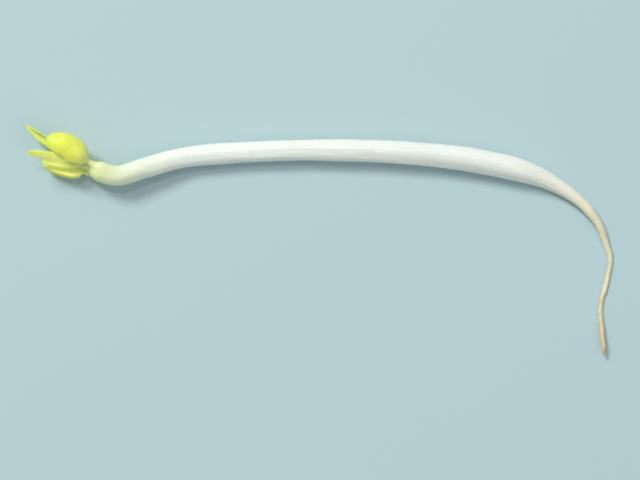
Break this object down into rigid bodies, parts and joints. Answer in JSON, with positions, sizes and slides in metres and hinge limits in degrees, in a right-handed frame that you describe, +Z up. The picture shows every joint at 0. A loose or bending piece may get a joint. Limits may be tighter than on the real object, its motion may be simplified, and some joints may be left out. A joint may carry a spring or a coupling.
{
  "type": "mung bean sprout",
  "caption": "Mung bean sprout lying on its side: a long white stem in a gentle arc, a yellow split bean with young folded leaves at the head, and a thin wavy cream root.",
  "frame": {"origin": "on the surface that the sprout lies on, under the middle of its box", "axes": "+X along the sprout from the bean at its head to the root, +Z up away from the surface"},
  "size_m": [0.0776, 0.0306, 0.006],
  "materials": {
    "stem": "moist, glossy, slightly translucent white plant tissue",
    "root": "matt cream to tan root skin",
    "bean": "smooth satin yellow to yellow-green seed leaf",
    "leaf": "soft yellow-green young leaf with veins"
  },
  "bodies": {
    "root": {"stem": "stem", "main_root": "root", "cotyledon_upper": "bean", "cotyledon_lower": "bean", "first_leaf_long": "leaf", "first_leaf_short": "leaf"}
  },
  "joints": []
}
